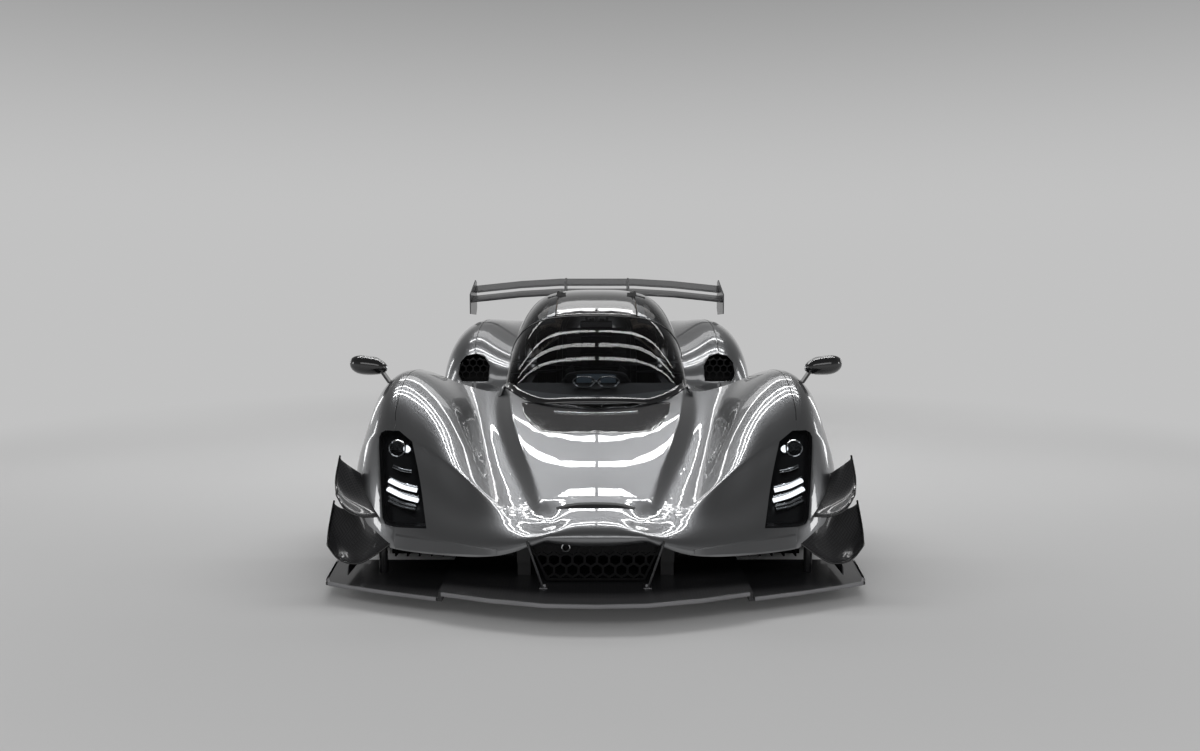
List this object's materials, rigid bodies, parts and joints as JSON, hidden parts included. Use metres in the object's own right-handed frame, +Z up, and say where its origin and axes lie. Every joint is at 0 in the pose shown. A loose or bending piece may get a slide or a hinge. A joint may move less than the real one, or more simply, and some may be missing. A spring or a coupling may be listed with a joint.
{
  "type": "hypercar",
  "caption": "Low mid-engined hypercar with a narrow dark canopy, silver wings over the wheels, long splitter, upswept doors, lifting engine cover and a swan-neck rear wing.",
  "frame": {"origin": "on the ground under the middle of the car's length and width", "axes": "-Y ahead towards the nose, +X to the car's left, +Z up"},
  "size_m": [2.248, 4.8, 1.205],
  "materials": {
    "silver_paint": "metallic silver-grey lacquer",
    "carbon": "lacquered carbon fibre",
    "black_gloss": "gloss black",
    "satin_black": "satin black",
    "dark_glass": "tinted",
    "lens": "smoked clear",
    "lamp": "dark lamp housing",
    "red_lens": "red lamp lens",
    "rubber": "tread rubber",
    "wheel": "dark satin forged",
    "disc": "ground faces",
    "upright": "machined",
    "engine": "cast",
    "titanium": "heat-tinted",
    "cloth": "dark woven cloth"
  },
  "bodies": {
    "chassis": {"arch_liners_front": "satin_black", "arch_liners_rear": "satin_black", "cowl_panel": "black_gloss", "dashboard": "satin_black", "diffuser": "carbon", "dive_planes": "carbon", "engine_block": "engine", "exhaust_pipes": "titanium", "fender_left": "silver_paint", "fender_right": "silver_paint", "floor_pan": "carbon", "front_clam": "silver_paint", "front_grille": "satin_black", "haunch_left": "silver_paint", "haunch_right": "silver_paint", "headlamp_lenses": "lens", "headlamps": "lamp", "intake_ducts": "carbon", "mirrors": "black_gloss", "nose_frame": "satin_black", "rear_deck": "silver_paint", "roof": "black_gloss", "seat_front": "cloth", "seat_rear": "cloth", "side_panel_left": "silver_paint", "side_panel_right": "silver_paint", "splitter": "carbon", "splitter_stays": "carbon", "steering_wheel": "satin_black", "suspension_front": "upright", "suspension_rear": "upright", "tail_lamps": "red_lens", "tail_panel": "satin_black", "tub": "carbon", "uprights_rear": "upright", "windscreen": "dark_glass", "wing_end_plates": "carbon", "wing_flap": "carbon", "wing_main": "carbon", "wing_pylons": "carbon"},
    "wheel_front_left": {"tyre_front_left": "rubber", "rim_front_left": "wheel", "disc_front_left": "disc"},
    "wheel_front_right": {"tyre_front_right": "rubber", "rim_front_right": "wheel", "disc_front_right": "disc"},
    "wheel_rear_left": {"tyre_rear_left": "rubber", "rim_rear_left": "wheel", "disc_rear_left": "disc"},
    "wheel_rear_right": {"tyre_rear_right": "rubber", "rim_rear_right": "wheel", "disc_rear_right": "disc"},
    "knuckle_front_left": {"upright_front_left": "upright"},
    "knuckle_front_right": {"upright_front_right": "upright"},
    "door_assembly_left": {"door_left": "black_gloss", "door_glass_left": "dark_glass"},
    "door_assembly_right": {"door_right": "black_gloss", "door_glass_right": "dark_glass"},
    "cover": {"engine_cover": "black_gloss"}
  },
  "joints": [
    {"name": "steer_left", "type": "hinge", "parent": "chassis", "child": "knuckle_front_left", "pos_m": [0.786, -1.28, 0.346], "axis": [0, 0, 1], "range_deg": [-24, 24]},
    {"name": "steer_right", "type": "hinge", "parent": "chassis", "child": "knuckle_front_right", "pos_m": [-0.786, -1.28, 0.346], "axis": [0, 0, 1], "range_deg": [-24, 24]},
    {"name": "spin_front_left", "type": "hinge", "parent": "knuckle_front_left", "child": "wheel_front_left", "pos_m": [0.85, -1.28, 0.346], "axis": [1, 0, 0], "continuous": true},
    {"name": "spin_rear_left", "type": "hinge", "parent": "chassis", "child": "wheel_rear_left", "pos_m": [0.845, 1.44, 0.364], "axis": [1, 0, 0], "continuous": true},
    {"name": "spin_front_right", "type": "hinge", "parent": "knuckle_front_right", "child": "wheel_front_right", "pos_m": [-0.85, -1.28, 0.346], "axis": [1, 0, 0], "continuous": true},
    {"name": "spin_rear_right", "type": "hinge", "parent": "chassis", "child": "wheel_rear_right", "pos_m": [-0.845, 1.44, 0.364], "axis": [1, 0, 0], "continuous": true},
    {"name": "door_left_hinge", "type": "hinge", "parent": "chassis", "child": "door_assembly_left", "pos_m": [0.2115, -0.015, 1.13342], "axis": [0, -1, 0], "range_deg": [0, 65]},
    {"name": "door_right_hinge", "type": "hinge", "parent": "chassis", "child": "door_assembly_right", "pos_m": [-0.2115, -0.015, 1.13342], "axis": [0, 1, 0], "range_deg": [0, 65]},
    {"name": "cover_hinge", "type": "hinge", "parent": "chassis", "child": "cover", "pos_m": [0, 1.77, 0.85189], "axis": [-1, 0, 0], "range_deg": [0, 40]}
  ],
  "couplings": [
    {"joint": "steer_right", "follows": "steer_left", "ratio": 1}
  ]
}
